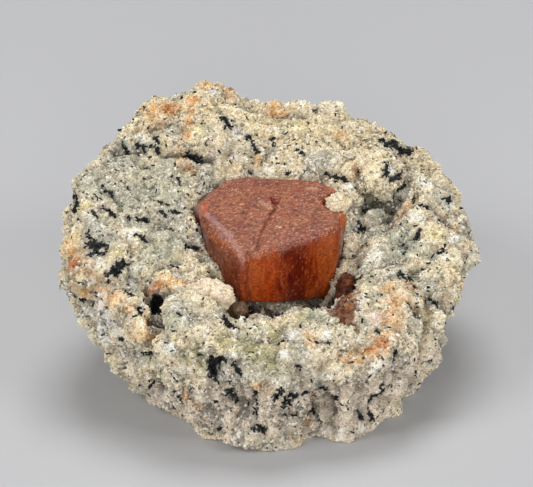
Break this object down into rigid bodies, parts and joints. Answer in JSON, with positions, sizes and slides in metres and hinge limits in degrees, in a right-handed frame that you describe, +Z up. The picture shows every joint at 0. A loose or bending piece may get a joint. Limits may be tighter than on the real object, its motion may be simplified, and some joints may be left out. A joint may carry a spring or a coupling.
{
  "type": "mineral specimen",
  "caption": "Mineral specimen: a thick tabular red-brown bastnasite crystal sunk in a rounded lump of pale granular feldspar and quartz rock that stands on a flat broken foot.",
  "frame": {"origin": "middle of the bounding box, on the plane of the foot that the specimen stands on", "axes": "+Z up; -Y is the side that the display face leans towards; +X is to the right, seen from that side"},
  "size_m": [0.0626, 0.0632, 0.035],
  "materials": {
    "matrix": "sugary granular rock: cream, grey and olive grains with black specks and rust stains",
    "bastnasite": "greasy to resinous red-brown crystal, vertically striated sides, finely pitted top face",
    "feldspar": "dull cream to tan grain",
    "quartz": "greasy brownish grey grain",
    "iron_oxide": "earthy dark rust crust"
  },
  "bodies": {
    "root": {"matrix": "matrix", "bastnasite_crystal": "bastnasite", "feldspar_grain": "feldspar", "feldspar_on_crystal": "feldspar", "quartz_grain": "quartz", "iron_oxide_crust": "iron_oxide"}
  },
  "joints": []
}
